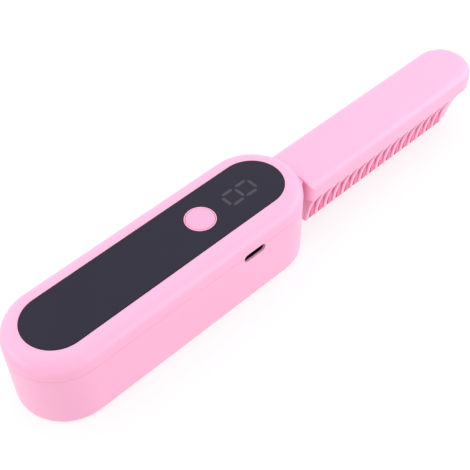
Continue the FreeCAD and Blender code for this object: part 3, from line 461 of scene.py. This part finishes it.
class COMB_OT_electronics(bpy.types.Operator):
    """Finishes the board and the battery inside the handle"""

    bl_idname = "comb.electronics"
    bl_label = "Electronics"

    def execute(self, context):
        finish = context.scene.comb_finish
        # Epoxy solder mask: a green gloss, lighter and darker over the copper
        mask = grainy(
            "solder_mask", finish.board, size=1.6 * MM, low=0.75, high=1.15, depth=0.01 * MM,
            Roughness=0.35, IOR=1.55,
        )
        paint(mask, "main_board")
        # Laminated foil: silvery, with shallow dents
        foil = grainy(
            "pouch_foil", linear("#BFC1C6"), size=4 * MM, low=0.95, high=1.03, depth=0.05 * MM,
            Roughness=0.35, Metallic=0.9,
        )
        paint(foil, "battery_cell")
        # Foam tape: black, with open cells
        foam = grainy(
            "black_foam", linear("#1C1C1E"), size=0.6 * MM, low=0.5, high=1.3, depth=0.1 * MM, Roughness=0.9
        )
        paint(foam, "battery_pad")
        return {"FINISHED"}


class COMB_OT_studio(bpy.types.Operator):
    """Makes the camera, the pale floor, the soft light all round and the lamps"""

    bl_idname = "comb.studio"
    bl_label = "Studio"

    def execute(self, context):
        scene = context.scene
        studio = scene.comb_studio
        self.camera(scene, studio)
        self.floor(context, studio)
        self.sky(scene, studio)
        for name, setting, place, size in LAMPS:
            self.lamp(scene, name, place, size, getattr(studio, setting))
        scene.view_settings.view_transform = "Standard"
        return {"FINISHED"}

    def camera(self, scene, studio):
        """Camera at the photograph's place."""
        data = bpy.data.cameras.new("photo_camera")
        data.lens = studio.lens
        data.sensor_width = SENSOR
        data.clip_start = NEAREST
        data.clip_end = FARTHEST
        camera = bpy.data.objects.new("photo_camera", data)
        scene.collection.objects.link(camera)
        eye = Vector(studio.eye)
        facing = (Vector(studio.aim) - eye).to_track_quat("-Z", "Y")
        camera.rotation_mode = "QUATERNION"
        camera.rotation_quaternion = facing @ Quaternion((0, 0, 1), studio.roll)
        camera.location = eye
        scene.camera = camera

    def seen(self, tree):
        """1 for what the camera, a reflection or glass shows, and 0 for light on its way to a matt face."""
        path = add_node(tree, "ShaderNodeLightPath")
        result = path.outputs["Is Camera Ray"]
        for name in ("Is Glossy Ray", "Is Transmission Ray"):
            links = {0: result, 1: path.outputs[name]}
            result = add_node(tree, "ShaderNodeMath", links=links, operation="MAXIMUM").outputs["Value"]
        return result

    def floor(self, context, studio):
        """Matt white paper that keeps a soft shadow, gives off soft light and shows only from above."""
        bpy.ops.object.select_all(action="DESELECT")
        bpy.ops.mesh.primitive_plane_add(size=studio.floor, location=(0, 0, 0))
        floor = context.view_layer.objects.active
        floor.name = "floor"
        material, tree, surface, _ = new_material("white_paper_sweep", Roughness=0.9, Specular_IOR_Level=0.0)
        seen = {"Value": self.seen(tree)}
        whites = {"To Min": studio.bounce, "To Max": studio.paper}
        white = add_node(tree, "ShaderNodeMapRange", whites, seen)
        tree.links.new(white.outputs["Result"], surface.inputs["Base Color"])
        glow = add_node(tree, "ShaderNodeEmission", {"Color": WHITE, "Strength": 1.0})
        shares = {"To Min": studio.lift, "To Max": studio.glow}
        part = add_node(tree, "ShaderNodeMapRange", shares, seen)
        links = {0: part.outputs["Result"], 1: surface.outputs[0], 2: glow.outputs[0]}
        paper = add_node(tree, "ShaderNodeMixShader", links=links)
        below = add_node(tree, "ShaderNodeNewGeometry").outputs["Backfacing"]
        clear = add_node(tree, "ShaderNodeBsdfTransparent")
        links = {0: below, 1: paper.outputs[0], 2: clear.outputs[0]}
        either = add_node(tree, "ShaderNodeMixShader", links=links)
        tree.links.new(either.outputs[0], tree.get_output_node("ALL").inputs["Surface"])
        floor.data.materials.append(material)

    def sky(self, scene, studio):
        """Soft light, brightest above and behind; the camera and reflections see plain white instead."""
        world = bpy.data.worlds.new("white_studio")
        world.use_nodes = True
        tree = world.node_tree
        tree.nodes.clear()
        way = add_node(tree, "ShaderNodeTexCoord").outputs["Generated"]
        towards = add_node(
            tree, "ShaderNodeVectorMath", {1: studio.sky_side}, {0: way}, operation="DOT_PRODUCT"
        )
        limits = {"From Min": DARK_SIDE, "To Max": studio.sky}
        soft = add_node(tree, "ShaderNodeMapRange", limits, {"Value": towards.outputs["Value"]})
        height = add_node(tree, "ShaderNodeSeparateXYZ", links={"Vector": way}).outputs["Z"]
        limits = {"From Max": -HORIZON, "To Max": studio.under}
        below = add_node(tree, "ShaderNodeMapRange", limits, {"Value": height})
        links = {0: soft.outputs["Result"], 1: below.outputs["Result"]}
        both = add_node(tree, "ShaderNodeMath", links=links, operation="MAXIMUM")
        links = {"Value": self.seen(tree), "To Min": both.outputs["Value"]}
        strength = add_node(tree, "ShaderNodeMapRange", {"To Max": 1.0}, links)
        links = {"Strength": strength.outputs["Result"]}
        light = add_node(tree, "ShaderNodeBackground", {"Color": WHITE}, links)
        add_node(tree, "ShaderNodeOutputWorld", links={"Surface": light.outputs[0]})
        scene.world = world

    def lamp(self, scene, name, place, size, watts):
        """Rectangular soft lamp that faces the comb's middle."""
        data = bpy.data.lights.new(name, "AREA")
        data.shape = "RECTANGLE"
        data.size, data.size_y = size
        data.energy = watts
        lamp = bpy.data.objects.new(name, data)
        scene.collection.objects.link(lamp)
        lamp.location = place
        lamp.rotation_mode = "QUATERNION"
        lamp.rotation_quaternion = (-Vector(place)).to_track_quat("-Z", "Y")


class COMB_PT_panel(bpy.types.Panel):
    """Lists the settings and the steps that finish the comb"""

    bl_idname = "COMB_PT_panel"
    bl_label = "Heated comb"
    bl_space_type = "VIEW_3D"
    bl_region_type = "UI"
    bl_category = "Heated comb"

    def draw(self, context):
        scene = context.scene
        for settings in (scene.comb_finish, scene.comb_port, scene.comb_studio):
            box = self.layout.box()
            for name in settings.__annotations__:
                box.prop(settings, name)
        for step in STEPS:
            self.layout.operator(step.bl_idname)


STEPS = (
    COMB_OT_casings,
    COMB_OT_control_panel,
    COMB_OT_button,
    COMB_OT_charging_port,
    COMB_OT_hinge,
    COMB_OT_heater,
    COMB_OT_electronics,
    COMB_OT_studio,
)
CLASSES = (CombFinish, PortSizes, Studio) + STEPS + (COMB_PT_panel,)


def register():
    """Adds the classes and their settings to Blender."""
    for cls in CLASSES:
        bpy.utils.register_class(cls)
    bpy.types.Scene.comb_finish = PointerProperty(type=CombFinish)
    bpy.types.Scene.comb_port = PointerProperty(type=PortSizes)
    bpy.types.Scene.comb_studio = PointerProperty(type=Studio)


def unregister():
    """Takes the settings and the classes out of Blender again."""
    del bpy.types.Scene.comb_studio
    del bpy.types.Scene.comb_port
    del bpy.types.Scene.comb_finish
    for cls in reversed(CLASSES):
        bpy.utils.unregister_class(cls)


def main():
    """Finishes every piece in order."""
    register()
    bpy.ops.comb.casings()
    bpy.ops.comb.control_panel()
    bpy.ops.comb.button()
    bpy.ops.comb.charging_port()
    bpy.ops.comb.hinge()
    bpy.ops.comb.heater()
    bpy.ops.comb.electronics()
    bpy.ops.comb.studio()


if __name__ == "__main__":
    main()
